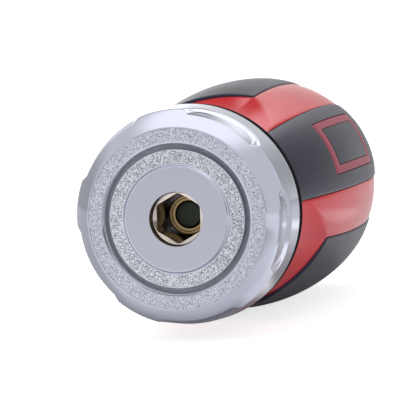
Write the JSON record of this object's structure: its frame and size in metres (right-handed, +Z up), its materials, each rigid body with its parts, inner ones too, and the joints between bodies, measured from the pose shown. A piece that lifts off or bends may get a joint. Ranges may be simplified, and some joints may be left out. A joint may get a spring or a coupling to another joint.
{
  "type": "ratcheting bit holder screwdriver",
  "caption": "Short ratcheting screwdriver with a magnetic hex bit socket, a scalloped chrome direction ring and a bulbous red handle with dark soft grips.",
  "frame": {"origin": "centre of the magnet's face, where the tail of a bit comes to rest", "axes": "+Y along the tool's axis from the mouth towards the handle's end, +Z up with the tool lying on its side as pictured, +X to the right as seen from the mouth"},
  "size_m": [0.0366, 0.0879, 0.037],
  "materials": {
    "chrome_plate": "chrome plated, polished bevels and blasted faces",
    "steel": "hardened steel, lightly oiled",
    "brass": "satin",
    "magnet": "dark sintered",
    "red_plastic": "moulded, semi-gloss",
    "grip_rubber": "soft moulded, matt",
    "black_plastic": "moulded, satin"
  },
  "bodies": {
    "handle": {"ratchet_body": "steel", "pawl_cover": "steel", "ring_retainer": "steel", "thrust_washer": "brass", "pawl_pin_left": "steel", "pawl_pin_right": "steel", "pawl_spring_left": "steel", "pawl_spring_right": "steel", "detent_ball": "steel", "detent_spring": "steel", "neck_collar": "black_plastic", "handle_core": "red_plastic", "grip_upper": "grip_rubber", "grip_lower": "grip_rubber", "grip_left": "grip_rubber", "grip_right": "grip_rubber", "badge_frame": "red_plastic"},
    "drive_spindle": {"spindle": "chrome_plate", "ratchet_wheel": "steel", "magnet_cup": "brass", "magnet": "magnet", "retaining_clip": "steel"},
    "selector_ring": {"direction_ring": "chrome_plate"},
    "left_pawl": {"pawl_left": "steel"},
    "right_pawl": {"pawl_right": "steel"}
  },
  "joints": [
    {"name": "spindle_spin", "type": "hinge", "parent": "handle", "child": "drive_spindle", "pos_m": [0, 0, 0], "axis": [0, -1, 0], "continuous": true},
    {"name": "ring_turn", "type": "hinge", "parent": "handle", "child": "selector_ring", "pos_m": [0, 0, 0], "axis": [0, -1, 0], "range_deg": [-18, 18]},
    {"name": "pawl_left_swing", "type": "hinge", "parent": "handle", "child": "left_pawl", "pos_m": [-0.00901, -0.0023, 0.00631], "axis": [0, -1, 0], "range_deg": [-3.8, 3.8]},
    {"name": "pawl_right_swing", "type": "hinge", "parent": "handle", "child": "right_pawl", "pos_m": [0.00901, -0.0023, 0.00631], "axis": [0, -1, 0], "range_deg": [-3.8, 3.8]}
  ],
  "couplings": [
    {"joint": "pawl_left_swing", "follows": "ring_turn", "ratio": 0.2111},
    {"joint": "pawl_right_swing", "follows": "ring_turn", "ratio": 0.2111}
  ]
}
